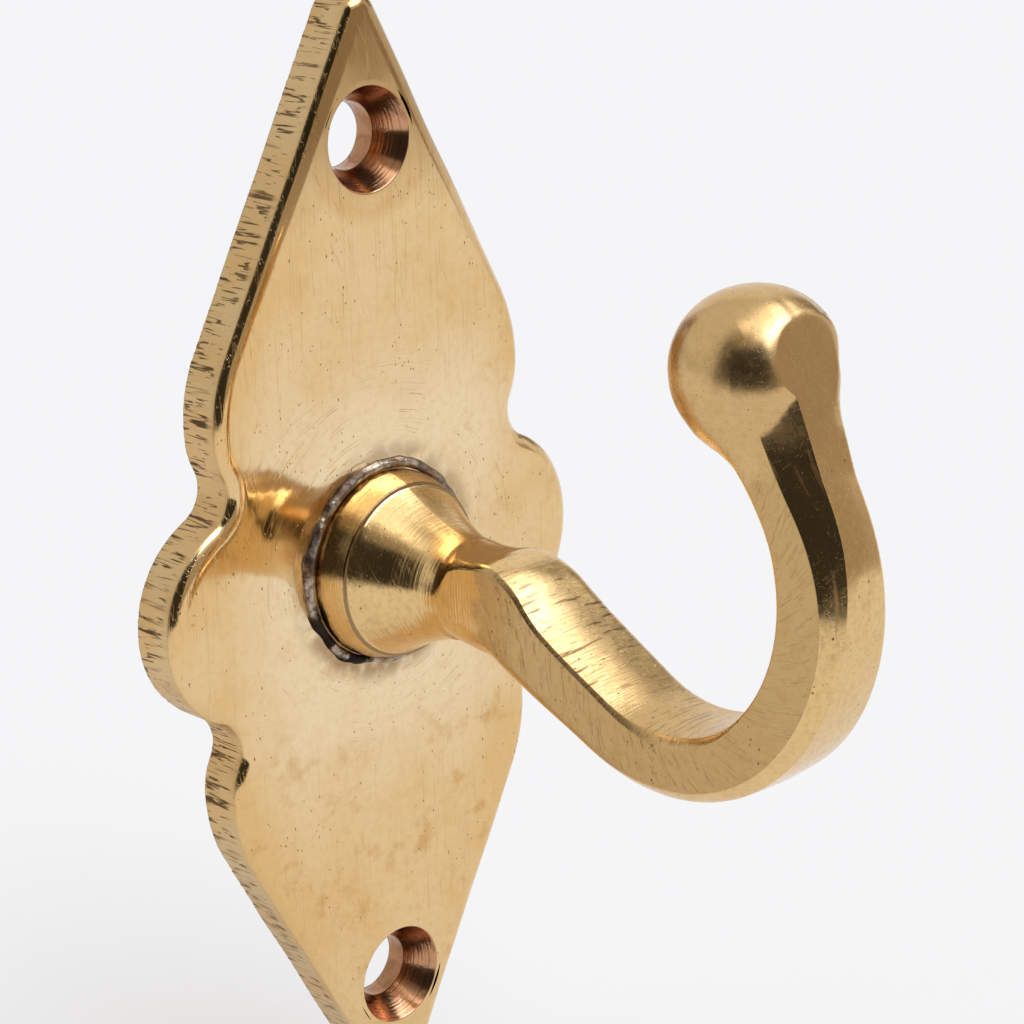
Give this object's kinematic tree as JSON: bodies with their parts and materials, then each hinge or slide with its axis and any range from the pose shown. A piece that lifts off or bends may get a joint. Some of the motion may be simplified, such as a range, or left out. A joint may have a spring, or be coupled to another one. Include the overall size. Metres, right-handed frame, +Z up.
{
  "type": "wall hook",
  "caption": "Cast brass wall hook: a pointed back plate with side lobes and countersunk screw holes, and a flat-sided arm that rises from a bell foot to a ball end.",
  "frame": {"origin": "midway between the two screw holes, at the plate's back face, which lies on the wall", "axes": "+Z is up along the plate, +Y points into the wall, and the hook reaches out along -Y"},
  "size_m": [0.0372, 0.045, 0.0786],
  "materials": {
    "plate_brass": "satin, polished by hand, with fine scratches and light tarnish",
    "hook_brass": "polished cast brass with small casting pits",
    "braze": "rough pale braze with dark grime"
  },
  "bodies": {
    "root": {"back_plate": "plate_brass", "hook_arm": "hook_brass", "solder_ring": "braze"}
  },
  "joints": []
}
